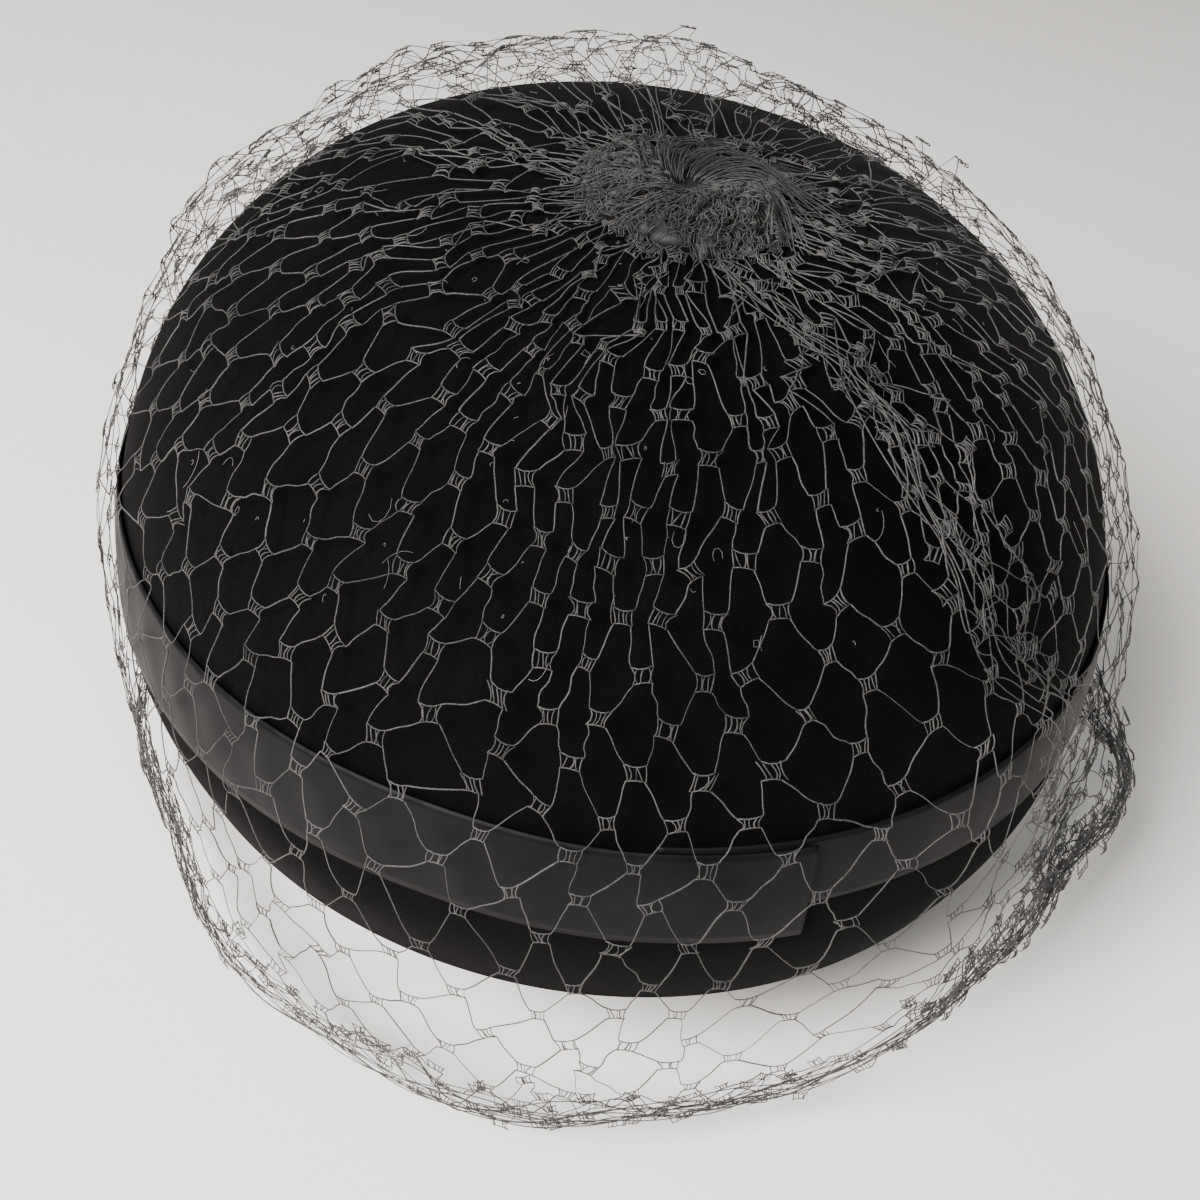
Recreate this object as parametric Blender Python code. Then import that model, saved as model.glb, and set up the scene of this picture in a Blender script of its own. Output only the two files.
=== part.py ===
"""Velvet pillbox hat with a satin ribbon and a gathered net veil, in metres, +Z up.

The origin is the centre of the head opening, in the plane of the crown's rim. The wearer
looks along +Y, and the ribbon's ends lap at the centre back, at -Y.
"""
import math

import bmesh
import bpy

# Crown, a domed shell of velvet over a stiff base
HALF_WIDTH = 0.099          # at the widest line, across the head
HALF_LENGTH = 0.104         # at the widest line, along the head
CROWN_HEIGHT = 0.1105       # rim to top
WIDEST_HEIGHT = 0.022       # rim to the widest line
RIM_SHARE = 0.945           # how far the wall tucks in at the rim
DOME_POWER = 2.3            # 2 is an ellipse, more is squarer
CROWN_WALL = 0.0025
CROWN_COLUMNS = 48
DOME_ROWS = 12
TUCK_ROWS = 3

# Ribbon band, one strip that goes round once and laps over its own start
RIBBON_WIDTH = 0.0204
RIBBON_THICKNESS = 0.001
RIBBON_HEIGHT = 0.0029      # lower edge above the widest line
RIBBON_START = -14          # in crown columns, anticlockwise from +X
RIBBON_END = 36
RIBBON_CLIMB = 3            # columns over which the upper end rises onto the lower one
RIBBON_ROWS = 3

# Veil, one coarse net that is drawn together at the top and hangs below the rim
VEIL_THICKNESS = 0.001
VEIL_EASE = 0.0021          # how loosely the net lies over the ribbon at the centre back
VEIL_LIFT = 0.4             # share of the dome over which the net rises to that ease
VEIL_DROP = 0.032           # hem below the rim
VEIL_COLUMNS = 30
VEIL_ROWS = 4
NET_BAR = 0.0026            # width of the net's bars
NARROW_BAR = 0.35           # most that a bar takes of a narrow cell
NET_HEAD = 0.0115           # closely gathered strip at the top of the net
NET_HEM = 0.003             # rolled strip along the hem
EDGE_POINT = 0.35           # how far an edge cell's point stands out, in thirds of a row
HEM_WAVE = 0.0021
HEM_WAVES = 9
FOLD_HEIGHT = 0.0043        # the overlap of the net's two sides stands up in a ridge
FOLD_ANGLE = -76.0
FOLD_SPREAD = 7.0

# Gather, the knot of pleated net that is sewn to the crown
GATHER_BACK = 0.0154        # behind the crown's top
GATHER_RADIUS = 0.016
GATHER_HEIGHT = 0.0092
GATHER_EYE = 0.55           # height of the hollow at the middle, as a share
GATHER_LOCKS = 14
LOCK_POINTS = 4
LOCK_DEPTH = 0.13           # share of the reach
LOCK_TWIST = 0.9            # radians from foot to top

CLEARANCE = 0.0003          # between pieces that touch

# The ribbon's course: place along it, lift of its lower edge and width, in ribbon widths
RIBBON_COURSE = [
    # along, lift, width
    (0.00, 0.34, 0.68),
    (0.05, 0.34, 0.68),
    (0.12, 0.30, 0.74),
    (0.22, 0.14, 0.92),
    (0.35, 0.00, 1.00),
    (0.70, 0.00, 1.00),
    (0.82, -0.03, 1.00),
    (0.91, 0.08, 0.94),
    (0.96, 0.08, 0.92),
    (1.00, 0.04, 0.94),
]

# How the veil hangs: ease in VEIL_EASE, reach of the hem in half widths, drop in VEIL_DROP
VEIL_HANG = [
    # angle, ease, hem_reach, hem_drop
    (-150.0, 0.40, 0.975, 1.00),
    (-122.0, 0.80, 0.985, 1.18),
    (-104.0, 0.95, 0.985, 0.86),
    (-86.0, 1.05, 0.99, 0.94),
    (-74.0, 1.15, 1.01, 0.10),
    (-54.0, 1.40, 1.06, 0.00),
    (-36.0, 1.30, 1.12, 0.12),
    (-16.0, 0.90, 1.14, 0.52),
    (20.0, 1.60, 1.09, 0.95),
    (68.0, 3.60, 1.06, 1.00),
    (110.0, 2.80, 1.03, 1.02),
    (140.0, 1.70, 0.99, 1.00),
    (165.0, 0.45, 0.97, 1.00),
    (210.0, 0.40, 0.975, 1.00),
]

# The gather's profile: reach in GATHER_RADIUS, height in GATHER_HEIGHT, 1 where the locks show
GATHER_PROFILE = [
    # reach, height, locks
    (0.94, 0.00, 0.0),
    (0.95, 0.14, 0.0),
    (1.20, 0.23, 1.0),
    (1.24, 0.42, 1.0),
    (1.06, 0.76, 1.0),
    (0.74, 0.97, 0.8),
    (0.36, 0.90, 0.5),
]


def smooth(share):
    """Ease from 0 to 1."""
    share = min(max(share, 0.0), 1.0)
    return share * share * (3.0 - 2.0 * share)


def read_table(table, place):
    """A table's columns after the first, eased between the two rows around a place."""
    for low, high in zip(table, table[1:]):
        if place <= high[0]:
            share = smooth((place - low[0]) / (high[0] - low[0]))
            return [a + (b - a) * share for a, b in zip(low[1:], high[1:])]
    return list(table[-1][1:])


def dome_lift(height):
    """Angle up the dome's profile at a height above the widest line."""
    share = height / (CROWN_HEIGHT - WIDEST_HEIGHT)
    return math.asin(min(share ** (DOME_POWER / 2.0), 1.0))


def over_dome(x, y, out):
    """Point of the dome above a place in plan, moved out along the surface's normal."""
    rise = CROWN_HEIGHT - WIDEST_HEIGHT
    reach = min(math.hypot(x / HALF_WIDTH, y / HALF_LENGTH), 1.0)
    up = (1.0 - reach ** DOME_POWER) ** (1.0 / DOME_POWER)
    flat = reach ** (DOME_POWER - 2.0)
    normal = (flat * x / HALF_WIDTH ** 2, flat * y / HALF_LENGTH ** 2, up ** (DOME_POWER - 1.0) / rise)
    scale = out / math.hypot(*normal)
    return (x + normal[0] * scale, y + normal[1] * scale, WIDEST_HEIGHT + rise * up + normal[2] * scale)


def on_dome(angle, lift, out, back=0.0):
    """Point of the dome on a ray from a pole behind its top, where a lift of 0 is the widest line."""
    reach = max(math.cos(lift), 0.0) ** (2.0 / DOME_POWER)
    x = reach * HALF_WIDTH * math.cos(angle)
    y = reach * HALF_LENGTH * math.sin(angle) - (1.0 - reach) * back
    return over_dome(x, y, out)


def on_tuck(angle, height, out):
    """Point of the wall between the rim and the widest line."""
    reach = RIM_SHARE + (1.0 - RIM_SHARE) * math.sin(height / WIDEST_HEIGHT * math.pi / 2.0)
    x = (HALF_WIDTH * reach + out) * math.cos(angle)
    y = (HALF_LENGTH * reach + out) * math.sin(angle)
    return (x, y, height)


def new_object(name, mesh_builder, colour, roughness, sheen=0.0):
    """Wrap the mesh that a builder makes in an object with its own material."""
    mesh = bmesh.new()
    mesh_builder(mesh)
    bmesh.ops.recalc_face_normals(mesh, faces=mesh.faces)
    data = bpy.data.meshes.new(name)
    mesh.to_mesh(data)
    mesh.free()
    data.shade_smooth()
    material = bpy.data.materials.new(name)
    material.use_nodes = True
    shader = material.node_tree.nodes["Principled BSDF"]
    shader.inputs["Base Color"].default_value = (*colour, 1.0)
    shader.inputs["Roughness"].default_value = roughness
    shader.inputs["Metallic"].default_value = 0.0
    shader.inputs["Sheen Weight"].default_value = sheen
    data.materials.append(material)
    piece = bpy.data.objects.new(name, data)
    bpy.context.scene.collection.objects.link(piece)
    return piece


def join_loops(mesh, low, high):
    """Quads between two closed loops of vertices."""
    for i in range(len(low)):
        j = (i + 1) % len(low)
        mesh.faces.new((low[i], low[j], high[j], high[i]))


def join_rings(mesh, rings):
    """Quads between each ring and the next."""
    for low, high in zip(rings, rings[1:]):
        join_loops(mesh, low, high)


def cap_ring(mesh, ring, point):
    """Close a ring with triangles to a middle point."""
    tip = mesh.verts.new(point)
    for i, corner in enumerate(ring):
        mesh.faces.new((corner, ring[(i + 1) % len(ring)], tip))


def build_crown(mesh):
    """A shell in rings: outside from top to rim, round the rim, and inside back to the top."""
    angles = [2.0 * math.pi * i / CROWN_COLUMNS for i in range(CROWN_COLUMNS)]
    roll = CROWN_WALL / 2.0

    def side(out):
        lifts = [math.pi / 2.0 * (1.0 - row / DOME_ROWS) for row in range(1, DOME_ROWS + 1)]
        rows = [[on_dome(angle, lift, out) for angle in angles] for lift in lifts]
        for row in range(1, TUCK_ROWS + 1):
            height = WIDEST_HEIGHT + (roll - WIDEST_HEIGHT) * row / TUCK_ROWS
            rows.append([on_tuck(angle, height, out) for angle in angles])
        return rows

    rim = []
    for quarters in (1, 2, 3):
        turn = quarters * math.pi / 4.0
        out = roll * (math.cos(turn) - 1.0)
        height = roll * (1.0 - math.sin(turn))
        rim.append([on_tuck(angle, roll, out)[:2] + (height,) for angle in angles])
    rows = side(0.0) + rim + side(-CROWN_WALL)[::-1]
    rings = [[mesh.verts.new(point) for point in row] for row in rows]
    join_rings(mesh, rings)
    cap_ring(mesh, rings[0], over_dome(0.0, 0.0, 0.0))
    cap_ring(mesh, rings[-1], over_dome(0.0, 0.0, -CROWN_WALL))


def build_ribbon(mesh):
    """A strip of even thickness whose last stretch lies over its first."""
    steps = RIBBON_END - RIBBON_START
    layer = RIBBON_THICKNESS + CLEARANCE
    lap = RIBBON_START + CROWN_COLUMNS
    sections = []
    for step in range(steps + 1):
        column = RIBBON_START + step
        angle = 2.0 * math.pi * column / CROWN_COLUMNS
        lift, width = read_table(RIBBON_COURSE, step / steps)
        under = CLEARANCE + layer * smooth((column - lap) / RIBBON_CLIMB + 1.0)
        lifts = [dome_lift(RIBBON_HEIGHT + RIBBON_WIDTH * (lift + width * row / RIBBON_ROWS))
                 for row in range(RIBBON_ROWS + 1)]
        inner = [on_dome(angle, lift, under) for lift in lifts]
        outer = [on_dome(angle, lift, under + RIBBON_THICKNESS) for lift in lifts]
        sections.append([mesh.verts.new(point) for point in inner + outer[::-1]])
    join_rings(mesh, sections)
    for end in (sections[0], sections[-1]):
        for row in range(RIBBON_ROWS):
            mesh.faces.new((end[row], end[row + 1], end[-row - 2], end[-row - 1]))


def veil_lengths():
    """Length of the net from the gather to the widest line, and from there to the hem."""
    mean_half = (HALF_WIDTH + HALF_LENGTH) / 2.0
    quarter = math.pi / 4.0 * (mean_half + CROWN_HEIGHT - WIDEST_HEIGHT)
    return quarter - GATHER_RADIUS, WIDEST_HEIGHT + VEIL_DROP


def on_veil(column, along):
    """Point of the net's middle surface, at a column and a length below the gather."""
    on_crown, hanging = veil_lengths()
    angle = 2.0 * math.pi * column / VEIL_COLUMNS
    first = VEIL_HANG[0][0]
    degrees = (math.degrees(angle) - first) % 360.0 + first
    ease, hem_reach, hem_drop = read_table(VEIL_HANG, degrees)
    seat = CLEARANCE + VEIL_THICKNESS / 2.0
    from_fold = (degrees - FOLD_ANGLE) / FOLD_SPREAD
    fold = FOLD_HEIGHT * math.exp(-from_fold * from_fold) * smooth(along / on_crown)
    away = RIBBON_THICKNESS + CLEARANCE + seat + VEIL_EASE * ease + fold
    if along <= on_crown:
        start_reach = (GATHER_RADIUS + CLEARANCE) / HALF_WIDTH
        start_lift = math.acos(start_reach ** (DOME_POWER / 2.0))
        out = seat + (away - seat) * smooth(along / (VEIL_LIFT * on_crown))
        back = GATHER_BACK / (1.0 - start_reach)
        return on_dome(angle, start_lift * (1.0 - along / on_crown), out, back)
    share = (along - on_crown) / hanging
    out = away + HEM_WAVE * share * math.sin(HEM_WAVES * angle)
    reach = 1.0 + (hem_reach - 1.0) * smooth(share)
    x = (HALF_WIDTH * reach + out) * math.cos(angle)
    y = (HALF_LENGTH * reach + out) * math.sin(angle)
    return (x, y, WIDEST_HEIGHT - share * (WIDEST_HEIGHT + VEIL_DROP * hem_drop))


def build_veil(mesh):
    """Staggered six-sided cells, each a frame of bars round a gap, between a head and a hem."""
    length = sum(veil_lengths())
    thirds = 3.0 * VEIL_ROWS - 1.0 + 2.0 * EDGE_POINT
    third = (length - NET_HEAD - NET_HEM) / thirds
    half_columns = 2 * VEIL_COLUMNS
    corners = {}

    def drop(level):
        """Length below the gather at a level counted in thirds, with the edge cells' points drawn in."""
        level = min(max(level, 1.0 - EDGE_POINT), 3.0 * VEIL_ROWS + EDGE_POINT)
        return NET_HEAD + (level - 1.0 + EDGE_POINT) * third

    def corner(half, level):
        """Net vertex shared by the cells around it."""
        key = (half % half_columns, level)
        if key not in corners:
            corners[key] = mesh.verts.new(on_veil(key[0] / 2.0, drop(level)))
        return corners[key]

    def gap_corner(middle, row, across, down):
        """Corner of a cell's gap, moved in from the cell's outline by half a bar."""
        along = drop(3 * row + down)
        top, bottom = drop(3 * row), drop(3 * row + 4)
        cell_width = math.dist(on_veil((middle - 1) / 2.0, along), on_veil((middle + 1) / 2.0, along))
        bar = min(NET_BAR, NARROW_BAR * cell_width)
        keep_across = 1.0 - bar / cell_width
        keep_down = 1.0 - NET_BAR / (bottom - top)
        centre = (top + bottom) / 2.0
        column = (middle + across * keep_across) / 2.0
        return mesh.verts.new(on_veil(column, centre + (along - centre) * keep_down))

    outline = ((0, 0), (1, 1), (1, 2), (1, 3), (0, 4), (-1, 3), (-1, 2), (-1, 1))
    for row in range(VEIL_ROWS):
        for cell in range(VEIL_COLUMNS):
            middle = 2 * cell + row % 2
            frame = [corner(middle + across, 3 * row + down) for across, down in outline]
            gap = [gap_corner(middle, row, across, down) for across, down in outline]
            join_loops(mesh, frame, gap)

    def edge_ring(along):
        return [mesh.verts.new(on_veil(half / 2.0, along)) for half in range(half_columns)]

    head = [corner(half, half % 2) for half in range(half_columns)]
    join_rings(mesh, [edge_ring(0.0), edge_ring(NET_HEAD / 2.0), head])
    stagger = (VEIL_ROWS - 1) % 2
    hem = [corner(half, 3 * VEIL_ROWS + 1 - (half + stagger) % 2) for half in range(half_columns)]
    join_rings(mesh, [hem, edge_ring(length)])


def build_gather(mesh):
    """Pleated locks fused to a backing, round a hollow eye."""
    points = GATHER_LOCKS * LOCK_POINTS

    def place(reach, height, angle):
        x = GATHER_RADIUS * reach * math.cos(angle)
        y = GATHER_RADIUS * reach * math.sin(angle) - GATHER_BACK
        return over_dome(x, y, CLEARANCE + GATHER_HEIGHT * height)

    rings = []
    for reach, height, locks in GATHER_PROFILE:
        ring = []
        for i in range(points):
            angle = 2.0 * math.pi * i / points
            pleat = 1.0 + locks * LOCK_DEPTH * math.cos(GATHER_LOCKS * angle)
            ring.append(mesh.verts.new(place(reach * pleat, height, angle + LOCK_TWIST * height)))
        rings.append(ring)
    join_rings(mesh, rings)
    cap_ring(mesh, rings[0], place(0.0, 0.0, 0.0))
    cap_ring(mesh, rings[-1], place(0.0, GATHER_EYE, 0.0))


def build_hat():
    """The four pieces of the hat."""
    new_object("crown", build_crown, (0.006, 0.006, 0.008), 0.85, 0.3)
    new_object("ribbon_band", build_ribbon, (0.07, 0.068, 0.078), 0.38)
    veil = new_object("veil", build_veil, (0.05, 0.048, 0.045), 0.7)
    thicken = veil.modifiers.new("thickness", "SOLIDIFY")
    thicken.thickness = VEIL_THICKNESS
    thicken.offset = 0.0
    new_object("veil_gather", build_gather, (0.04, 0.039, 0.037), 0.75)


for old in list(bpy.data.objects):
    bpy.data.objects.remove(old)
build_hat()
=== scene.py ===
"""Looks of the velvet pillbox hat: velvet crown, satin ribbon and a knotted net veil.

Lengths are in metres. The origin is the centre of the head opening, and -Y is the centre back.
"""
import math

import bmesh
import bpy
import numpy as np
from mathutils import Matrix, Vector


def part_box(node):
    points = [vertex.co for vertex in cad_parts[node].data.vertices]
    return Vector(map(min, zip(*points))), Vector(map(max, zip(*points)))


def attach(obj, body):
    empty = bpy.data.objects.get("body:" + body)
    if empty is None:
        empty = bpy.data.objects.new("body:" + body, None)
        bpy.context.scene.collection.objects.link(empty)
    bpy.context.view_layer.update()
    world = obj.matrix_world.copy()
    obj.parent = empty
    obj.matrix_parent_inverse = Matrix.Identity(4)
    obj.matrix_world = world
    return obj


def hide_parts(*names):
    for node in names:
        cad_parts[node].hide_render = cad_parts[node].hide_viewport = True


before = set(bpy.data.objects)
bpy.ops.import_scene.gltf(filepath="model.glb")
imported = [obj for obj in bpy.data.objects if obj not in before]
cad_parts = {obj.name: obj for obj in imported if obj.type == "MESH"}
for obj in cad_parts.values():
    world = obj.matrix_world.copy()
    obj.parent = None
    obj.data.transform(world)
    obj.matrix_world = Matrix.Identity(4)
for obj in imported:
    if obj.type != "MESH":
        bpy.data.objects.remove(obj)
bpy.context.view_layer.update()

# The crown's shape, as in the solid
crown_low, crown_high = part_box("crown")
HALF_WIDTH = crown_high[0]
HALF_LENGTH = crown_high[1]
CROWN_HEIGHT = crown_high[2]
WIDEST_HEIGHT = 0.022
RIM_SHARE = 0.945
DOME_POWER = 2.3
CROWN_WALL = 0.0025

# The ribbon's course, as in the solid: place along it, lift of its lower edge and width, in ribbon widths
RIBBON_WIDTH = 0.0204
RIBBON_HEIGHT = 0.0029
RIBBON_START = -105.0
RIBBON_END = 270.0
RIBBON_CLIMB = 22.5
RIBBON_CLOTH = 0.00045
RIBBON_GAP = 0.0003
RIBBON_COURSE = [
    # along, lift, width
    (0.00, 0.34, 0.68),
    (0.05, 0.34, 0.68),
    (0.12, 0.30, 0.74),
    (0.22, 0.14, 0.92),
    (0.35, 0.00, 1.00),
    (0.70, 0.00, 1.00),
    (0.82, -0.03, 1.00),
    (0.91, 0.08, 0.94),
    (0.96, 0.08, 0.92),
    (1.00, 0.04, 0.94),
]

# How the veil hangs, as in the solid
VEIL_SEAT = 0.0008
VEIL_EASE = 0.0021
VEIL_LIFT = 0.4
VEIL_DROP = 0.032
HEM_WAVE = 0.0021
HEM_WAVES = 9
FOLD_HEIGHT = 0.0043
FOLD_ANGLE = -76.0
FOLD_SPREAD = 7.0
GATHER_BACK = 0.0154
GATHER_RADIUS = 0.016
GATHER_HEIGHT = 0.0092
VEIL_HANG = [
    # angle, ease, hem_reach, hem_drop
    (-150.0, 0.40, 0.975, 1.00),
    (-122.0, 0.80, 0.985, 1.18),
    (-104.0, 0.95, 0.985, 0.86),
    (-86.0, 1.05, 0.99, 0.94),
    (-74.0, 1.15, 1.01, 0.10),
    (-54.0, 1.40, 1.06, 0.00),
    (-36.0, 1.30, 1.12, 0.12),
    (-16.0, 0.90, 1.14, 0.52),
    (20.0, 1.60, 1.09, 0.95),
    (68.0, 3.60, 1.06, 1.00),
    (110.0, 2.80, 1.03, 1.02),
    (140.0, 1.70, 0.99, 1.00),
    (165.0, 0.45, 0.97, 1.00),
    (210.0, 0.40, 0.975, 1.00),
]

# How the net's cells lie, from one end of the net round to the other: width of a column, spacing of
# the rows, climb of a row for each degree, and degrees that a column leans for each row
NET_LIE = [
    # angle, width, spacing, climb, lean
    (-125.0, 5.8, 0.0066, 0.0009, -1.8),
    (-70.0, 5.9, 0.0066, 0.0010, -2.0),
    (-40.0, 5.9, 0.0072, 0.0006, -1.6),
    (0.0, 6.3, 0.0080, 0.0001, -0.5),
    (100.0, 6.5, 0.0080, 0.0000, 0.0),
    (160.0, 6.7, 0.0076, 0.0004, -0.5),
    (200.0, 6.6, 0.0078, 0.0005, -0.8),
    (228.0, 5.7, 0.0082, 0.0004, -1.0),
    (246.0, 5.8, 0.0085, 0.0000, 0.0),
    (262.0, 6.5, 0.0087, -0.0001, 0.2),
    (275.0, 6.6, 0.0084, -0.0004, 0.9),
    (320.0, 6.4, 0.0080, -0.0004, 1.0),
]
LEVEL = 0.070
LEAN_ROWS = 6.0
HEM_MARGIN = 0.0025
HEM_RISE = 0.0015

# Where the net's end lies over its start, and a crease on the other side where its columns crowd
FOLD = [
    # along, angle
    (0.00, -98.0),
    (0.03, -78.0),
    (0.07, -76.0),
    (0.11, -63.0),
    (0.19, -56.0),
]
CREASE = [
    # along, angle
    (0.00, -215.0),
    (0.02, -178.0),
    (0.05, -162.0),
    (0.19, -155.0),
]
OVERLAP = 13.0
ONE = np.ones((1, 1))
STRAND = 0.00011
RUNG = 0.00010
KNOT_HALF_WIDTH = 0.0015
KNOT_HALF_HEIGHT = 0.0013

rng = np.random.default_rng(11)


def smooth(share):
    """Ease from 0 to 1."""
    share = np.clip(share, 0.0, 1.0)
    return share * share * (3.0 - 2.0 * share)


def read_table(table, place):
    """A table's columns after the first, eased between the two rows around each place."""
    rows = np.array(table)
    at = np.clip(np.searchsorted(rows[:, 0], place), 1, len(rows) - 1)
    low, high = rows[at - 1], rows[at]
    share = smooth((place - low[..., 0]) / (high[..., 0] - low[..., 0]))
    return [low[..., k] + (high[..., k] - low[..., k]) * share for k in range(1, rows.shape[1])]


def unit(vectors):
    return vectors / np.maximum(np.linalg.norm(vectors, axis=-1, keepdims=True), 1e-12)


def over_dome(x, y, out):
    """Points of the dome above places in plan, moved out along the surface's normal."""
    rise = CROWN_HEIGHT - WIDEST_HEIGHT
    reach = np.minimum(np.hypot(x / HALF_WIDTH, y / HALF_LENGTH), 1.0)
    up = (1.0 - reach ** DOME_POWER) ** (1.0 / DOME_POWER)
    flat = reach ** (DOME_POWER - 2.0)
    normal = unit(np.stack([flat * x / HALF_WIDTH ** 2, flat * y / HALF_LENGTH ** 2,
                            up ** (DOME_POWER - 1.0) / rise], -1))
    base = np.stack([x, y, WIDEST_HEIGHT + rise * up], -1)
    return base + normal * np.asarray(out)[..., None]


def on_dome(angle, lift, out, back=0.0):
    """Points of the dome on rays from a pole behind its top, where a lift of 0 is the widest line."""
    reach = np.maximum(np.cos(lift), 0.0) ** (2.0 / DOME_POWER)
    x = reach * HALF_WIDTH * np.cos(angle)
    y = reach * HALF_LENGTH * np.sin(angle) - (1.0 - reach) * back
    return over_dome(x, y, out)


def on_tuck(angle, height, out):
    """Points of the wall between the rim and the widest line."""
    reach = RIM_SHARE + (1.0 - RIM_SHARE) * np.sin(height / WIDEST_HEIGHT * math.pi / 2.0)
    x = (HALF_WIDTH * reach + out) * np.cos(angle)
    y = (HALF_LENGTH * reach + out) * np.sin(angle)
    return np.stack([x, y, height + 0.0 * x], -1)


def dome_lift(height):
    """Angle up the dome's profile at a height above the widest line."""
    share = height / (CROWN_HEIGHT - WIDEST_HEIGHT)
    return np.arcsin(np.clip(share ** (DOME_POWER / 2.0), 0.0, 1.0))


ON_CROWN = math.pi / 4.0 * ((HALF_WIDTH + HALF_LENGTH) / 2.0 + CROWN_HEIGHT - WIDEST_HEIGHT) - GATHER_RADIUS
HANGING = WIDEST_HEIGHT + VEIL_DROP
NET_LENGTH = ON_CROWN + HANGING


def on_veil(degrees, along, out=0.0):
    """Points of the veil at an angle and a length below the gather, moved out from its middle surface."""
    angle = np.radians(degrees)
    first = VEIL_HANG[0][0]
    turned = (degrees - first) % 360.0 + first
    ease, hem_reach, hem_drop = read_table(VEIL_HANG, turned)
    from_fold = (turned - FOLD_ANGLE) / FOLD_SPREAD
    fold = FOLD_HEIGHT * np.exp(-from_fold * from_fold) * smooth(along / ON_CROWN)
    away = VEIL_SEAT + 0.0013 + VEIL_EASE * ease + fold
    start_reach = (GATHER_RADIUS + 0.0003) / HALF_WIDTH
    start_lift = math.acos(start_reach ** (DOME_POWER / 2.0))
    back = GATHER_BACK / (1.0 - start_reach)
    above = VEIL_SEAT + (away - VEIL_SEAT) * smooth(along / (VEIL_LIFT * ON_CROWN)) + out
    dome = on_dome(angle, start_lift * (1.0 - np.minimum(along, ON_CROWN) / ON_CROWN), above, back)
    share = np.maximum(along - ON_CROWN, 0.0) / HANGING
    wide = away + out + HEM_WAVE * share * np.sin(HEM_WAVES * angle)
    reach = 1.0 + (hem_reach - 1.0) * smooth(share)
    skirt = np.stack([(HALF_WIDTH * reach + wide) * np.cos(angle),
                      (HALF_LENGTH * reach + wide) * np.sin(angle),
                      WIDEST_HEIGHT - share * (WIDEST_HEIGHT + VEIL_DROP * hem_drop)], -1)
    return np.where((along <= ON_CROWN)[..., None], dome, skirt)


def new_mesh(name, points, faces, material, uv=None):
    """Object from arrays of points and four-sided faces."""
    points = np.asarray(points, np.float32).reshape(-1, 3)
    faces = np.asarray(faces, np.int32).reshape(-1, 4)
    mesh = bpy.data.meshes.new(name)
    mesh.vertices.add(len(points))
    mesh.vertices.foreach_set("co", points.ravel())
    mesh.loops.add(faces.size)
    mesh.loops.foreach_set("vertex_index", faces.ravel())
    mesh.polygons.add(len(faces))
    mesh.polygons.foreach_set("loop_start", np.arange(0, faces.size, 4, dtype=np.int32))
    mesh.update(calc_edges=True)
    mesh.shade_smooth()
    if uv is not None:
        layer = mesh.uv_layers.new(name="cloth")
        layer.data.foreach_set("uv", np.asarray(uv, np.float32)[faces.ravel()].ravel())
    mesh.materials.append(material)
    piece = bpy.data.objects.new(name, mesh)
    bpy.context.scene.collection.objects.link(piece)
    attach(piece, "root")
    return piece


def grid_faces(rows, columns, around=True):
    """Faces of a grid of points, closed round its columns or not."""
    row, column = np.meshgrid(np.arange(rows - 1), np.arange(columns if around else columns - 1),
                              indexing="ij")
    beside = (column + 1) % columns
    return np.stack([row * columns + column, row * columns + beside,
                     (row + 1) * columns + beside, (row + 1) * columns + column], -1).reshape(-1, 4)


def tubes(paths, radius):
    """Closed four-sided tubes along many paths of as many points each: points and faces."""
    count, steps, _ = paths.shape
    sides = 4
    tangent = unit(np.gradient(paths, axis=1))
    outward = unit(paths[:, steps // 2] - np.array([0.0, 0.0, 0.03]))[:, None, :]
    side = unit(np.cross(tangent, outward + 0.02 * rng.normal(size=(count, 1, 3))))
    lift = np.cross(side, tangent)
    turn = (np.arange(sides) + 0.5) * 2.0 * math.pi / sides
    radius = np.broadcast_to(np.asarray(radius, float), (count, steps))[..., None, None]
    ring = np.cos(turn)[:, None] * side[:, :, None, :] + np.sin(turn)[:, None] * lift[:, :, None, :]
    points = (paths[:, :, None, :] + radius * ring).reshape(-1, 3)
    wall = grid_faces(steps, sides)
    caps = np.array([np.arange(sides)[::-1], np.arange(sides) + (steps - 1) * sides])
    one = np.concatenate([wall, caps])
    faces = (one[None] + (np.arange(count) * steps * sides)[:, None, None]).reshape(-1, 4)
    return points, faces


def join(batches):
    """Several batches of points and faces as one."""
    points, faces, start = [], [], 0
    for batch_points, batch_faces in batches:
        points.append(batch_points)
        faces.append(batch_faces + start)
        start += len(batch_points)
    return np.concatenate(points), np.concatenate(faces)


def curve_between(start, end, leave, arrive, steps):
    """Hermite curves from start to end, (count, steps, 3)."""
    t = np.linspace(0.0, 1.0, steps)[None, :, None]
    return ((2 * t ** 3 - 3 * t ** 2 + 1) * start[:, None] + (t ** 3 - 2 * t ** 2 + t) * leave[:, None]
            + (3 * t ** 2 - 2 * t ** 3) * end[:, None] + (t ** 3 - t ** 2) * arrive[:, None])


# Materials

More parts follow.
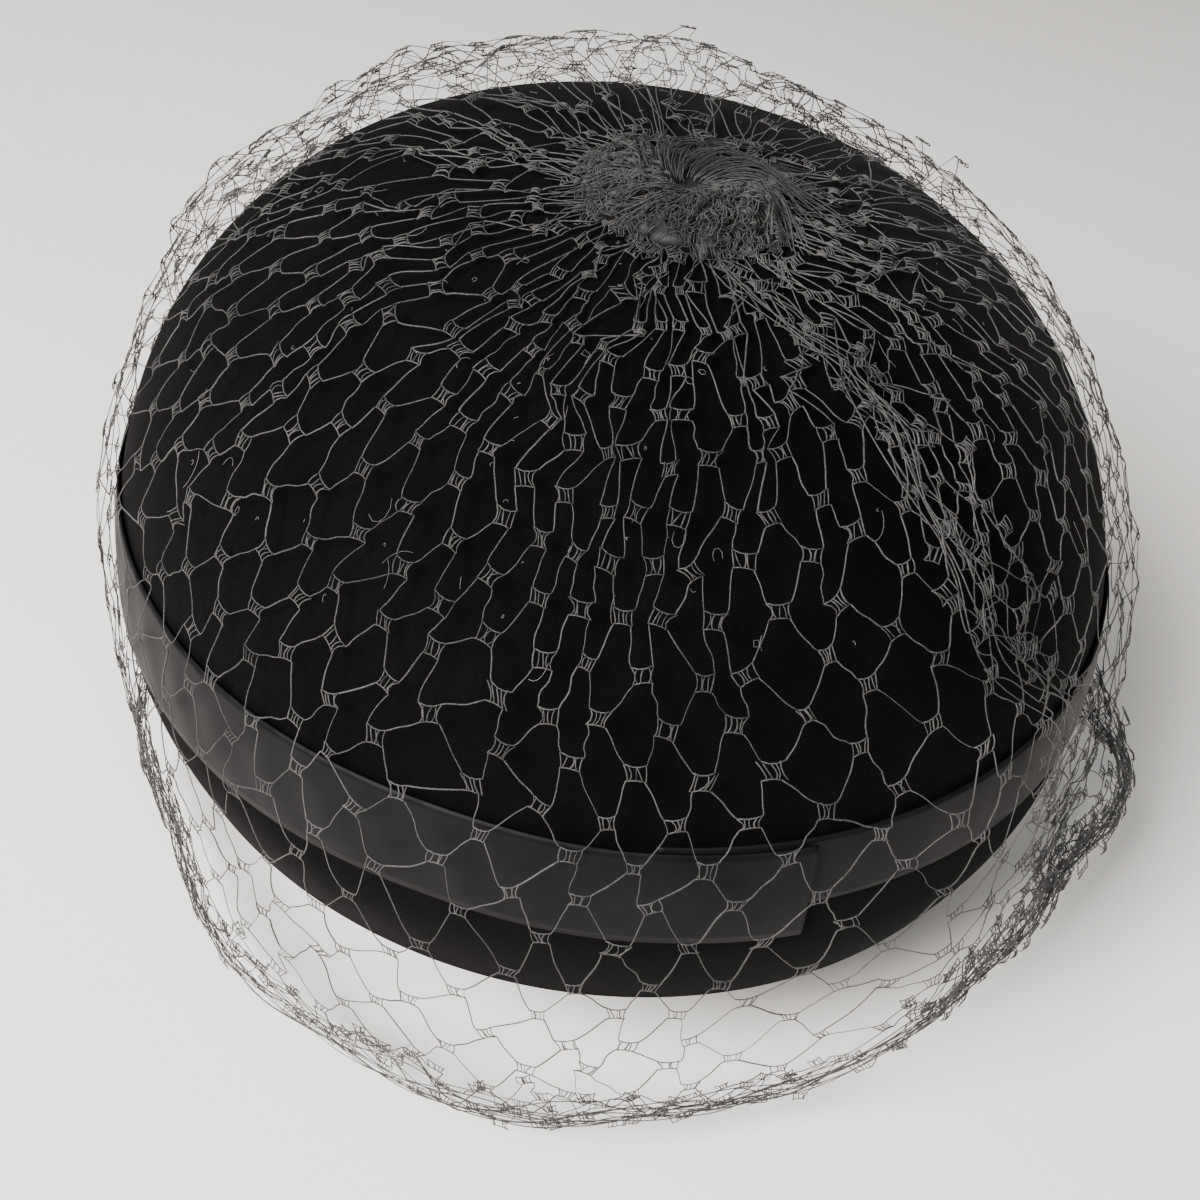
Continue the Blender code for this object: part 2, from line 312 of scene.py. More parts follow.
class Nodes:
    """A material with a Principled shader and short ways to add nodes to it."""

    def __init__(self, name, colour, roughness, **inputs):
        self.material = bpy.data.materials.new(name)
        self.material.use_nodes = True
        self.tree = self.material.node_tree
        self.shader = self.tree.nodes["Principled BSDF"]
        self.set("Base Color", (*colour, 1.0))
        self.set("Roughness", roughness)
        for key, value in inputs.items():
            self.set(key.replace("_", " "), value)

    def set(self, socket, value):
        self.shader.inputs[socket].default_value = value

    def add(self, kind, links=None, **values):
        node = self.tree.nodes.new(kind)
        for key, value in values.items():
            if hasattr(node, key):
                setattr(node, key, value)
            else:
                node.inputs[key.replace("_", " ")].default_value = value
        for socket, source in (links or {}).items():
            self.tree.links.new(source, node.inputs[socket])
        return node

    def link(self, source, socket):
        self.tree.links.new(source, self.shader.inputs[socket])

    def ramp(self, source, stops):
        node = self.add("ShaderNodeValToRGB", {"Fac": source})
        ramp = node.color_ramp
        while len(ramp.elements) < len(stops):
            ramp.elements.new(0.5)
        for element, (place, colour) in zip(ramp.elements, stops):
            element.position = place
            element.color = (*colour, 1.0)
        return node.outputs["Color"]

    def bump(self, height, strength, distance):
        node = self.add("ShaderNodeBump", {"Height": height}, Strength=strength, Distance=distance)
        self.link(node.outputs["Normal"], "Normal")


def velvet_material():
    """Short pile in fine rows, near black, with patches that lie a little differently."""
    cloth = Nodes("velvet", (0.004, 0.004, 0.005), 0.85, Sheen_Weight=0.016, Sheen_Roughness=0.35,
                  Sheen_Tint=(0.75, 0.68, 0.68, 1.0), Specular_IOR_Level=0.03)
    place = cloth.add("ShaderNodeUVMap", uv_map="cloth").outputs["UV"]
    rows = cloth.add("ShaderNodeTexWave", {"Vector": place}, bands_direction="Y",
                     Scale=6000.0 / (2.0 * math.pi),
                     Distortion=1.2, Detail=2.0, Detail_Scale=3.0)
    pile = cloth.add("ShaderNodeTexNoise", {"Vector": place}, Scale=2600.0, Detail=3.0, Roughness=0.7)
    patch = cloth.add("ShaderNodeTexNoise", {"Vector": place}, Scale=38.0, Detail=4.0, Roughness=0.6)
    mixed = cloth.add("ShaderNodeMath", {0: rows.outputs["Fac"], 1: pile.outputs["Fac"]},
                      operation="MULTIPLY")
    tone = cloth.add("ShaderNodeMath", {0: mixed.outputs[0], 1: patch.outputs["Fac"]}, operation="MULTIPLY")
    cloth.link(cloth.ramp(tone.outputs[0], [(0.0, (0.0004, 0.0004, 0.0006)),
                                            (0.12, (0.0010, 0.0009, 0.0011)),
                                            (0.42, (0.0048, 0.0036, 0.0039))]), "Base Color")
    cloth.bump(mixed.outputs[0], 0.5, 0.0003)
    return cloth.material


def satin_material():
    """Dark ribbon with a fine twill and soft shine."""
    cloth = Nodes("satin", (0.06, 0.058, 0.066), 0.44, Specular_IOR_Level=0.05, Anisotropic=0.5)
    place = cloth.add("ShaderNodeUVMap", uv_map="cloth").outputs["UV"]
    ribs = cloth.add("ShaderNodeTexWave", {"Vector": place}, bands_direction="DIAGONAL", Scale=1500.0,
                     Distortion=0.4, Detail=1.0)
    cloud = cloth.add("ShaderNodeTexNoise", {"Vector": place}, Scale=60.0, Detail=4.0)
    tones = [(0.3, (0.0030, 0.0028, 0.0034)), (0.7, (0.0065, 0.0059, 0.0070))]
    cloth.link(cloth.ramp(cloud.outputs["Fac"], tones),
               "Base Color")
    cloth.bump(ribs.outputs["Fac"], 0.25, 0.00005)
    return cloth.material


def thread_material(name, dark, light):
    """Twisted, slightly hairy thread."""
    thread = Nodes(name, light, 0.6, Sheen_Weight=0.04, Sheen_Roughness=0.5, Specular_IOR_Level=0.25)
    place = thread.add("ShaderNodeTexCoord").outputs["Object"]
    twist = thread.add("ShaderNodeTexNoise", {"Vector": place}, Scale=1800.0, Detail=2.0)
    patch = thread.add("ShaderNodeTexNoise", {"Vector": place}, Scale=60.0, Detail=2.0)
    mixed = thread.add("ShaderNodeMath", {0: twist.outputs["Fac"], 1: patch.outputs["Fac"]},
                       operation="ADD")
    half = thread.add("ShaderNodeMath", {0: mixed.outputs[0]}, operation="MULTIPLY")
    half.inputs[1].default_value = 0.5
    thread.link(thread.ramp(half.outputs[0], [(0.35, dark), (0.65, light)]), "Base Color")
    thread.bump(twist.outputs["Fac"], 0.4, 0.0001)
    return thread.material


def floor_material():
    stone = Nodes("floor", (0.84, 0.80, 0.74), 0.75, Specular_IOR_Level=0.3)
    place = stone.add("ShaderNodeTexCoord").outputs["Object"]
    cloud = stone.add("ShaderNodeTexNoise", {"Vector": place}, Scale=2.5, Detail=3.0)
    stone.link(stone.ramp(cloud.outputs["Fac"], [(0.3, (0.82, 0.775, 0.71)), (0.7, (0.88, 0.84, 0.78))]),
               "Base Color")
    return stone.material


# Crown and ribbon

def make_crown(material):
    """The velvet shell in fine rings: outside, round the rim, and inside to the top."""
    columns, dome_rows, tuck_rows, roll_rows, inside_rows = 240, 84, 20, 7, 24
    angle = np.radians(np.arange(columns) * 360.0 / columns)
    roll = CROWN_WALL / 2.0

    def side(out, dome_count, tuck_count):
        lifts = math.pi / 2.0 * (1.0 - np.arange(0, dome_count + 1) / dome_count)
        rings = [on_dome(angle, np.full(columns, max(lift, 0.0) if lift < math.pi / 2 - 1e-9
                                        else math.pi / 2 - 0.004),
                         np.full(columns, out)) for lift in lifts]
        for row in range(1, tuck_count + 1):
            rings.append(on_tuck(angle, WIDEST_HEIGHT + (roll - WIDEST_HEIGHT) * row / tuck_count, out))
        return rings

    outside = side(0.0, dome_rows, tuck_rows)
    rim = []
    for row in range(1, roll_rows + 1):
        turn = math.pi * row / (roll_rows + 1)
        ring = on_tuck(angle, roll, roll * (math.cos(turn) - 1.0))
        ring[:, 2] = roll * (1.0 - math.sin(turn))
        rim.append(ring)
    inside = side(-CROWN_WALL, inside_rows, 8)[::-1]
    rings = np.array(outside + rim + inside)
    steps = np.linalg.norm(np.diff(rings, axis=0), axis=-1).mean(axis=1)
    run = np.concatenate([[0.0], np.cumsum(steps)])
    uv = np.stack([run[:, None] * np.cos(angle), run[:, None] * np.sin(angle)], -1).reshape(-1, 2)
    points = rings.reshape(-1, 3)
    faces = grid_faces(len(rings), columns)[:, ::-1]
    piece = new_mesh("velvet_crown", points, faces, material, uv)
    close_ends(piece)
    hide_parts("crown")
    return piece


def close_ends(piece):
    """Fill every open loop of a mesh."""
    mesh = bmesh.new()
    mesh.from_mesh(piece.data)
    edges = [edge for edge in mesh.edges if edge.is_boundary]
    bmesh.ops.holes_fill(mesh, edges=edges, sides=0)
    bmesh.ops.recalc_face_normals(mesh, faces=mesh.faces)
    mesh.to_mesh(piece.data)
    mesh.free()
    piece.data.shade_smooth()


def make_ribbon(material):
    """The satin strip, whose last stretch lies over its first."""
    steps, rows = 520, 14
    share = np.linspace(0.0, 1.0, steps)
    degrees = RIBBON_START + (RIBBON_END - RIBBON_START) * share
    lift, width = read_table(RIBBON_COURSE, share)
    layer = RIBBON_CLOTH + RIBBON_GAP + 0.0004
    climb = smooth((degrees - (RIBBON_START + 360.0)) / RIBBON_CLIMB + 1.0)
    across = np.linspace(0.0, 1.0, rows)
    sections = []
    for face in (0.0, RIBBON_CLOTH):
        for place in across if face == 0.0 else across[::-1]:
            ripple = 0.00012 * np.sin(degrees * 0.9 + 3.0 * place) * np.sin(math.pi * place)
            height = RIBBON_HEIGHT + RIBBON_WIDTH * (lift + width * place)
            out = RIBBON_GAP + layer * climb + face + ripple + 0.0001
            sections.append(on_dome(np.radians(degrees), dome_lift(height), out))
    rings = np.array(sections).transpose(1, 0, 2)
    points = rings.reshape(-1, 3)
    run = np.repeat(np.radians(degrees)[:, None] * 0.101, 2 * rows, axis=1)
    rise = np.repeat(np.concatenate([across, across[::-1]])[None, :] * RIBBON_WIDTH, steps, axis=0)
    piece = new_mesh("satin_ribbon", points, grid_faces(steps, 2 * rows), material,
                     np.stack([run, rise], -1).reshape(-1, 2))
    close_ends(piece)
    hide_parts("ribbon_band")
    return piece


# Net

def pinch(degrees, middle, reach, share):
    """Draw angles towards a middle angle, most of all those near it."""
    off = degrees - middle
    return middle + off * (1.0 - share * np.exp(-(off / reach) ** 2))


def net_nodes():
    """Angles and lengths of the net's knots in rows and columns, and which of them there are."""
    fine = np.arange(NET_LIE[0][0], NET_LIE[-1][0], 0.25)
    width, spacing, climb, lean = read_table(NET_LIE, fine)
    column_at = np.concatenate([[0.0], np.cumsum(0.25 / width[:-1])])
    level_at = np.concatenate([[0.0], np.cumsum(0.25 * (climb / spacing)[:-1])])
    level_at = level_at - level_at.mean()
    columns = int(column_at[-1])
    rows = np.arange(-14, 28)[:, None]
    column = np.arange(columns)[None, :] + 0.5 * (rows % 2) + 0.06 * rng.normal(size=(len(rows), columns))
    start = np.interp(column, column_at, fine)
    above = rows + np.interp(column, column_at, level_at)
    degrees = start + np.interp(column, column_at, lean) * LEAN_ROWS * np.tanh(above / LEAN_ROWS)
    along = LEVEL + np.interp(column, column_at, spacing) * above
    loose = 0.55 * np.clip((0.052 - along) / 0.05, 0.0, 1.0)
    degrees = degrees + (0.5 + 6.0 * loose) * rng.normal(size=degrees.shape)
    along = along + (0.0006 + 0.003 * loose) * rng.normal(size=along.shape)
    near = np.exp(-((along - 0.068) / 0.024) ** 2)
    degrees = pinch(degrees, -112.0 + 360.0, 24.0, 0.30 * near)
    crease = read_table(CREASE, along)[0] + 360.0
    degrees = pinch(degrees, crease, 9.0, 0.45 * np.clip((0.085 - along) / 0.03, 0.0, 1.0))
    fold = read_table(FOLD, along)[0]
    there = (degrees > fold) & (degrees < fold + 360.0 + OVERLAP)
    there &= (along > -0.006) & (along < NET_LENGTH + 0.004)
    under = degrees < fold + OVERLAP
    return degrees, np.clip(along, 0.0006, NET_LENGTH - HEM_MARGIN - hem_wave(degrees)), there, under


class Net:
    """Rows of staggered knots on a surface, with the strands that join them."""

    def __init__(self, degrees, along, lie, there, rough, size=1.0, surface=on_veil):
        shape = degrees.shape
        self.there = there
        bearing = np.radians(degrees)
        wave = np.sin(bearing * 7.0 + along * 110.0) + np.sin(bearing * 3.0 - along * 70.0)
        out = lie + rough * (0.0004 * rng.normal(size=shape) + 0.0003 * wave)
        nudge = 0.0005
        self.centre = surface(degrees, along, out)
        across = surface(degrees + 0.3, along, out) - surface(degrees - 0.3, along, out)
        down = surface(degrees, along + nudge, out) - surface(degrees, along - nudge, out)
        across, down = unit(across), unit(down)
        normal = unit(np.cross(down, across))
        self.normal = normal * np.sign((normal * self.centre).sum(-1, keepdims=True))
        beside = np.diff(self.centre, axis=1, append=self.centre[:, -1:])
        beside[:, -1] = beside[:, -2]
        room = np.linalg.norm(beside, axis=-1)
        slope = unit(beside + 0.8 * across * room[..., None])
        slope = slope + 0.22 * np.minimum(rough, 2.0)[..., None] * rng.normal(size=shape)[..., None] * down
        self.across = unit(slope - self.normal * (slope * self.normal).sum(-1, keepdims=True))
        self.down = unit(np.cross(self.across, self.normal))
        self.down = self.down * np.sign((self.down * down).sum(-1, keepdims=True))
        scale = (size * (1.0 + 0.12 * rng.normal(size=shape))
                 * np.clip(0.27 * room / KNOT_HALF_WIDTH, 0.3, 1.0))
        self.half_width = (KNOT_HALF_WIDTH * scale)[..., None]
        self.half_height = (KNOT_HALF_HEIGHT * (0.5 * size + 0.5 * scale)
                            * (1.0 + 0.10 * rng.normal(size=shape)))[..., None]

    def corner(self, right, bottom):
        wide = 1.08 if bottom < 0 else 0.92
        return (self.centre + self.across * self.half_width * right * wide
                + self.down * self.half_height * bottom)

    def strands(self, bend=1.0, thick=1.0):
        """Curved threads from each knot's lower corners to the knots below."""
        rows, columns = self.there.shape
        ends = []
        for row in range(rows - 1):
            for side in (-1, 1):
                index = np.arange(columns)
                below = index + row % 2 - (side < 0)
                inside = (below >= 0) & (below < columns)
                index, below = index[inside], below[inside]
                both = self.there[row, index] & self.there[row + 1, below]
                index, below = index[both], below[both]
                ends.append(np.stack([self.corner(side, 1)[row, index],
                                      self.corner(-side, -1)[row + 1, below],
                                      side * self.across[row, index], side * self.across[row + 1, below],
                                      self.normal[row, index]]))
        start, end, out_a, out_b, normal = np.concatenate(ends, axis=1)
        length = np.maximum(np.linalg.norm(end - start, axis=1, keepdims=True), 0.0008)
        keep = length[:, 0] < 0.03
        parts = (start, end, out_a, out_b, normal, length)
        start, end, out_a, out_b, normal, length = (part[keep] for part in parts)
        chord = unit(end - start)
        leave = unit(chord + 0.04 * out_a + 0.10 * bend * rng.normal(size=chord.shape)) * length * 0.8
        arrive = unit(chord + 0.18 * out_b + 0.10 * bend * rng.normal(size=chord.shape)) * length * 0.8
        steps = 8
        paths = curve_between(start, end, leave, arrive, steps)
        t = np.linspace(0.0, 1.0, steps)[None, :, None]
        turns = 0.5 + 0.8 * rng.random((len(start), 1, 1))
        wobble = 0.00016 * bend * rng.normal(size=(len(start), 1, 1)) * np.sin(2.0 * math.pi * t * turns)
        wobble = wobble + 0.00002 * rng.normal(size=(len(start), steps, 1))
        sag = np.minimum(length[:, None] ** 2 / (8.0 * HALF_WIDTH), 0.0006) * np.sin(math.pi * t)
        paths = paths + unit(np.cross(chord, normal))[:, None] * wobble * np.sin(math.pi * t)
        radius = thick * STRAND * (1.0 + 0.16 * rng.normal(size=(len(start), 1)))
        return tubes(paths + normal[:, None] * sag, radius)

    def knots(self, rows=slice(None), thick=1.0):
        """Ladders of rungs between two rails, for some of the rows."""
        there = self.there[rows]
        values = (self.centre, self.across, self.down, self.normal, self.half_width, self.half_height)
        return ladders(*(value[rows][there] for value in values), thick)


def ladders(centre, across, down, normal, half_width, half_height, thick=1.0, rungs=5):
    """A sagging upper rail, a flatter lower one, and looping rungs between them, at each knot."""
    count = len(centre)
    centre, across, down, normal = (value[:, None] for value in (centre, across, down, normal))
    wide, high = half_width[:, None], half_height[:, None]
    t = np.linspace(-1.0, 1.0, 4)[None, :, None]
    upper = centre + across * wide * 1.08 * t + down * high * (0.30 * (1.0 - t ** 2) - 1.0)
    lower = centre + across * wide * 0.92 * t + down * high * (1.0 - 0.14 * (1.0 - t ** 2))
    batches = [tubes(upper, thick * STRAND * 0.95), tubes(lower, thick * STRAND * 0.9)]
    lean = 0.14 * rng.normal(size=(count, 1, 1))
    for rung in range(rungs):
        place = -1.0 + 2.0 * rung / (rungs - 1)
        loose = 0.05 if rung in (0, rungs - 1) else 0.13
        top = place * 1.06 - lean + loose * rng.normal(size=(count, 1, 1))
        bottom = place * 0.90 + lean + loose * rng.normal(size=(count, 1, 1))
        over = wide * (top * (1.0 - t) / 2.0 + bottom * (1.0 + t) / 2.0 - 0.16 * place * (1.0 - t ** 2))
        belly = 0.16 * wide * rng.normal(size=(count, 1, 1)) * (1.0 - t ** 2)
        first = -1.0 + 0.30 * (1.0 - place ** 2)
        last = 1.0 - 0.14 * (1.0 - place ** 2)
        path = (centre + across * (over + belly) + down * high * (first + (last - first) * (t + 1.0) / 2.0)
                + normal * (0.00003 + 0.0003 * (1.0 - t ** 2)))
        batches.append(tubes(path, thick * RUNG * (1.0 + 0.2 * rng.normal(size=(count, 1)))))
    return join(batches)


def make_net(material):
    degrees, along, there, under = net_nodes()
    far = smooth((np.sin(np.radians(degrees)) - 0.25) / 0.5) * smooth((along - 0.035) / 0.04)
    net = Net(degrees, along, np.where(under, -0.0010, 0.0002) + 0.0012 * far, there, 1.0 + 3.2 * far)
    piece = new_mesh("net_strands", *net.strands(), material)
    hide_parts("veil")
    middle = np.searchsorted(np.cumsum(there.sum(axis=1)), there.sum() / 2)
    for name, rows in (("net_knots_upper", slice(0, middle)), ("net_knots_lower", slice(middle, None))):
        knots = new_mesh(name, *net.knots(rows), material)


def make_overlap(material):
    """Crowded threads and knots along the edge where the net lies over itself, and a puff at the front."""
    count, points = 3, 70
    run = np.linspace(0.0, 1.0, points)[None, :]
    phase = rng.uniform(0.0, 6.3, (count, 1))
    drift = 1.3 * np.sin(run * rng.uniform(16.0, 40.0, (count, 1)) + phase)
    along = run * (NET_LENGTH - 0.001) * np.ones((count, 1))
    spread = np.abs(rng.normal(0.0, 3.0, (count, 1)))
    turned = read_table(FOLD, along)[0] - 1.5 + spread * (1.0 - 0.3 * run) + drift
    lift = 0.0006 + 0.0010 * rng.random((count, 1)) + 0.0005 * np.sin(run * 40.0 + phase)
    batches = [tubes(on_veil(turned, along, lift), STRAND)]
    rows = np.arange(21)[:, None]
    column = np.arange(2)[None, :] + 0.5 * (rows % 2)
    along = 0.020 + 0.0082 * rows + 0.0014 * rng.normal(size=column.shape)
    along = np.clip(along, 0.002, NET_LENGTH - 0.0022)
    degrees = read_table(FOLD, along)[0] + 4.0 * column - 1.0 + 1.0 * rng.normal(size=column.shape)
    strip = Net(degrees, along, 0.0010, np.ones(column.shape, bool), ONE * 1.6, 1.15)
    batches += [strip.strands(1.6), strip.knots()]
    rows = np.arange(13)[:, None]
    column = np.arange(26)[None, :] + 0.5 * (rows % 2)
    along = 0.048 + 0.0075 * rows + 0.0020 * rng.normal(size=column.shape)
    degrees = 18.0 + 5.6 * column + 1.6 * rng.normal(size=column.shape)
    strip = Net(degrees, along, -0.0014, np.ones(column.shape, bool), ONE * 4.5, 1.0)
    batches += [strip.strands(1.8), strip.knots()]
    piece = new_mesh("net_overlap", *join(batches), material)


def hem_wave(degrees):
    """How far the hem's edge is drawn up at an angle."""
    return HEM_RISE * (1.0 + np.sin(HEM_WAVES * np.radians(degrees) + 1.0))


def make_hem(material):
    """The net's lower edge, drawn up in a bunch that curls."""
    count, points = 9, 300
    run = np.linspace(0.0, 1.0, points)[None, :]
    degrees = -70.0 + 360.0 * run + np.zeros((count, 1))
    phase = rng.uniform(0.0, 6.3, (count, 1))
    level = rng.uniform(0.0, 1.0, (count, 1))
    swing = (np.sin(run * rng.uniform(90.0, 150.0, (count, 1)) + phase)
             * (0.4 + 0.6 * np.sin(run * 37.0 + phase)))
    along = NET_LENGTH - 0.0006 - 0.007 * level ** 1.5 - 0.0012 * (1.0 + swing) - hem_wave(degrees)
    lift = 0.0008 * np.sin(run * 130.0 + 2.0 * phase) + 0.0008 * (level - 0.5)
    batches = [tubes(on_veil(degrees, along, lift), STRAND * 0.9)]
    for layer, (first, last, width) in enumerate(((-76.0, 284.0, 5.2), (-72.0, 286.0, 5.6),
                                                  (-78.0, -18.0, 3.6), (-78.0, -14.0, 3.2))):
        rows = np.arange(3)[:, None]
        column = np.arange(int((last - first) / width))[None, :] + 0.5 * (rows % 2)
        degrees = first + width * (column + 0.2 * rng.normal(size=column.shape))
        spread = 0.0042 if layer < 2 else 0.010
        along = NET_LENGTH - 2.4 * spread + spread * rows + 0.0014 * rng.normal(size=column.shape)
        along = np.minimum(along, NET_LENGTH - 0.0030) - hem_wave(degrees)
        strip = Net(degrees, along, 0.0010 * (layer - 1.5), np.ones(column.shape, bool), ONE * 1.8, 0.9)
        batches += [strip.strands(1.8), strip.knots()]
    piece = new_mesh("net_hem", *join(batches), material)


def gather_height(reach, angle):
    """Height of the gather's crest, higher towards the back and left, round a hollow eye."""
    ridge = np.exp(-((reach - 0.0115) / 0.0065) ** 2)
    return 0.80 * GATHER_HEIGHT * ridge * (0.72 + 0.28 * np.cos(angle - math.radians(-130.0)))


def on_gather(degrees, along, out):
    """Points of the gather at an angle and a distance from its eye, moved out from its crest."""
    angle = np.radians(degrees)
    height = gather_height(along, angle) + out
    return over_dome(along * np.cos(angle), along * np.sin(angle) - GATHER_BACK, np.maximum(height, 0.0003))


def make_gather_mass(material):
    """The pleated heart of the gather, round its hollow eye, near black: painted shade for the shadow deep
    inside the bunched net.
    """
    rows, columns = 18, 120
    degrees = (np.arange(columns) * 360.0 / columns)[None, :] + np.zeros((rows, 1))
    along = np.linspace(0.0005, 0.0172, rows)[:, None] + np.zeros((1, columns))
    bearing = np.radians(degrees)
    pleat = np.sin(bearing * 17.0 + along * 260.0) + 0.7 * np.sin(bearing * 26.0 - along * 340.0)
    sunk = -0.36 * gather_height(along, bearing) + 0.0005 * pleat * smooth(along / 0.006) - 0.0006
    mass = on_gather(degrees, along, np.where(along > 0.0168, -1.0, sunk))
    piece = new_mesh("gather_mass", mass.reshape(-1, 3), grid_faces(rows, columns), material)
    close_ends(piece)
    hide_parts("veil_gather")


def make_gather(material):
    """Threads of net that swirl into the eye, with crumpled net and crushed loops."""
    steps = 14
    t = np.linspace(0.0, 1.0, steps)[None, :]
    bundles, threads = 34, 6
    count = bundles * threads
    start = np.repeat(np.arange(bundles) * 2.0 * math.pi / bundles + 0.10 * rng.normal(size=bundles), threads)
    swept = np.maximum(np.cos(start - 0.3), 0.0) + 0.5 * np.maximum(np.cos(start - 2.6), 0.0)
    far = (0.009 + 0.016 * swept)[:, None] * (0.8 + 0.4 * rng.random((count, 1)))
    reach = 0.0032 + 0.0020 * rng.random((count, 1)) + far * t ** 0.9
    swirl = np.repeat(rng.uniform(0.7, 1.5, bundles), threads)[:, None] * (1.0 - t) ** 1.5
    bend = 0.0008 * np.sin(6.3 * t * rng.uniform(0.4, 1.4, (count, 1)) + rng.uniform(0, 6.3, (count, 1)))
    spread = 0.0010 * rng.normal(size=(count, 1)) + bend
    angle = start[:, None] + swirl + spread * (0.4 + t) / np.maximum(reach, 0.004)
    height = 0.0005 + gather_height(reach, angle) * (0.55 + 0.45 * rng.random((count, 1)))
    height = height + 0.0008 * rng.random((count, 1)) * np.sin(math.pi * t) ** 2
    pleats = over_dome(reach * np.cos(angle), reach * np.sin(angle) - GATHER_BACK, height)
    batches = [tubes(pleats, 0.00008)]
    for layer, columns in enumerate((19, 23)):
        rows = np.arange(6)[:, None]
        column = np.arange(columns)[None, :] + 0.5 * (rows % 2)
        along = 0.0055 + 0.0026 * rows + 0.0014 * rng.normal(size=column.shape)
        degrees = -215.0 + 215.0 / columns * (column + 0.35 * rng.normal(size=column.shape)) - 10.0 * rows
        strip = Net(degrees, np.clip(along, 0.0035, 0.019), 0.0003 - 0.0010 * layer,
                    np.ones(column.shape, bool),
                    ONE * 2.4, 0.9, on_gather)
        batches += [strip.strands(3.2, 0.85), strip.knots(thick=0.8)]
    count = 170
    steps = 11
    t = np.linspace(-1.0, 1.0, steps)[None, :]
    angle = math.radians(-125.0) + 1.0 * rng.normal(size=(count, 1))
    reach = 0.0045 + 0.0140 * rng.beta(2.0, 1.6, (count, 1))
    length = rng.uniform(0.0010, 0.0036, (count, 1))
    slant = rng.normal(0.8, 0.8, (count, 1))
    curl = rng.normal(0.0, 2.6, (count, 1))
    radial = reach + length * (t * np.cos(slant + curl * t))
    turned = angle + length * t * np.sin(slant + curl * t) / np.maximum(reach, 0.004)
    radial = np.maximum(radial, 0.002)
    top = gather_height(radial, turned)
    height = (0.0004 + top * rng.uniform(0.6, 1.05, (count, 1))
              + 0.0010 * (1.0 - t ** 2) * rng.random((count, 1)))
    mat = over_dome(radial * np.cos(turned), radial * np.sin(turned) - GATHER_BACK, height)
    batches.append(tubes(mat, 0.000065))
    piece = new_mesh("gathered_net", *join(batches), material)


def make_lint(material):
    """Fine fibres and specks caught on the pile."""
    count = 260
    steps = 6
    t = np.linspace(-1.0, 1.0, steps)[None, :]
    angle = np.radians(rng.uniform(0.0, 360.0, (count, 1)))
    reach = 0.9 * np.sqrt(rng.random((count, 1)))
    length = np.where(rng.random((count, 1)) < 0.6, rng.uniform(0.0002, 0.0006, (count, 1)),
                      rng.uniform(0.0008, 0.0026, (count, 1)))
    turn = rng.uniform(0.0, 6.3, (count, 1)) + rng.normal(0.0, 1.4, (count, 1)) * t
    x = reach * HALF_WIDTH * np.cos(angle) + length * np.cos(turn) * t
    y = reach * HALF_LENGTH * np.sin(angle) + length * np.sin(turn) * t
    height = 0.00012 + 0.0002 * rng.random((count, 1)) * (1.0 + t)
    piece = new_mesh("lint", *tubes(over_dome(x, y, height), 0.000045), material)


# Floor, light and camera

def make_floor():
    mesh = bpy.data.meshes.new("floor")
    half, height = 3.0, -0.041
    corners = [(-half, -half, height), (half, -half, height), (half, half, height), (-half, half, height)]
    mesh.from_pydata(corners, [], [(0, 1, 2, 3)])
    mesh.materials.append(floor_material())
    floor = bpy.data.objects.new("floor", mesh)
    bpy.context.scene.collection.objects.link(floor)


def add_light(name, azimuth, elevation, distance, size, power, colour=(1.0, 1.0, 1.0)):
    """A square soft light that looks at the hat."""
    data = bpy.data.lights.new(name, "AREA")
    data.size = size
    data.energy = power
    data.color = colour
    light = bpy.data.objects.new(name, data)
    turn, rise = math.radians(azimuth), math.radians(elevation)
    back = np.array([math.sin(turn) * math.cos(rise), -math.cos(turn) * math.cos(rise), math.sin(rise)])
    aim(light, back, 0.0, back * distance + np.array([0.0, 0.0, 0.05]))
    bpy.context.scene.collection.objects.link(light)


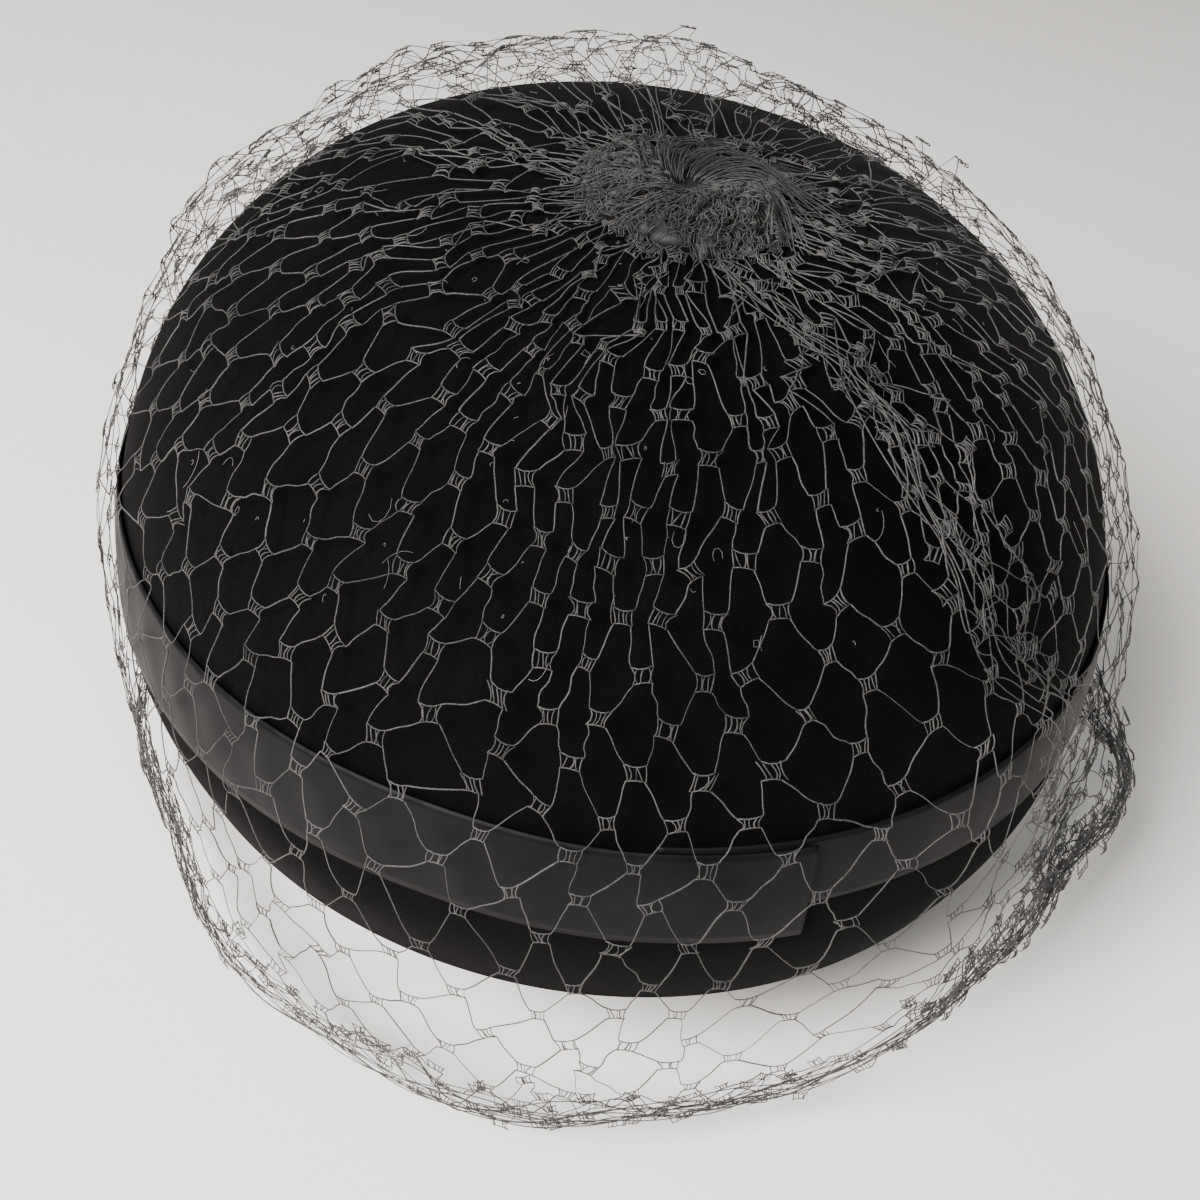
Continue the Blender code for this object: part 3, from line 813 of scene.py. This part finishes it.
def aim(thing, back, roll, place):
    """Place a thing and turn it so that its -Z looks away from back."""
    right = unit(np.cross([0.0, 0.0, 1.0], back))
    up = np.cross(back, right)
    turned = math.cos(roll) * right + math.sin(roll) * up
    upright = -math.sin(roll) * right + math.cos(roll) * up
    rows = [[turned[k], upright[k], back[k], place[k]] for k in range(3)]
    thing.matrix_world = Matrix(rows + [[0, 0, 0, 1]])


def make_camera():
    """The photograph's view, over the centre back from the left."""
    azimuth, elevation, roll = math.radians(-22.0), math.radians(40.7), math.radians(7.6)
    distance, field = 0.295, math.radians(44.0)
    aside, above = -0.005, -0.0385
    target = np.array([0.0, 0.0, 0.0577])
    back = np.array([math.sin(azimuth) * math.cos(elevation), -math.cos(azimuth) * math.cos(elevation),
                     math.sin(elevation)])
    right = unit(np.cross([0.0, 0.0, 1.0], back))
    up = np.cross(back, right)
    turned = math.cos(roll) * right + math.sin(roll) * up
    upright = -math.sin(roll) * right + math.cos(roll) * up
    data = bpy.data.cameras.new("camera")
    data.sensor_width = 36.0
    data.lens = 18.0 / math.tan(field / 2.0)
    data.clip_start = 0.01
    camera = bpy.data.objects.new("camera", data)
    aim(camera, back, roll, target + turned * aside + upright * above + back * distance)
    bpy.context.scene.collection.objects.link(camera)
    bpy.context.scene.camera = camera


def make_world():
    world = bpy.data.worlds.new("studio")
    world.use_nodes = True
    sky = world.node_tree.nodes["Background"]
    sky.inputs["Color"].default_value = (0.95, 0.96, 1.0, 1.0)
    sky.inputs["Strength"].default_value = 0.32
    bpy.context.scene.world = world


make_camera()
make_world()
make_floor()
add_light("key", -62.0, 42.0, 1.1, 0.45, 44.0, (1.0, 0.98, 0.97))
add_light("fill", -10.0, 66.0, 1.4, 0.6, 4.0)
make_crown(velvet_material())
make_ribbon(satin_material())
thread = thread_material("net_thread", (0.014, 0.0135, 0.0127), (0.068, 0.0655, 0.062))
make_net(thread)
make_overlap(thread)
make_hem(thread)
# Painted shade: the gather's mass takes the net's thread at about a tenth of its colour, for the shadow
# inside the bunched net.
make_gather_mass(thread_material("gather_mass", (0.0012, 0.0012, 0.0012), (0.0070, 0.0067, 0.0064)))
# Painted shade: the gathered threads take a darker copy of the net's thread colour, for the shade among the
# crowded threads of the gather.
make_gather(thread_material("gathered_net", (0.008, 0.0077, 0.0072), (0.050, 0.048, 0.045)))
make_lint(thread_material("lint", (0.05, 0.047, 0.045), (0.16, 0.15, 0.145)))
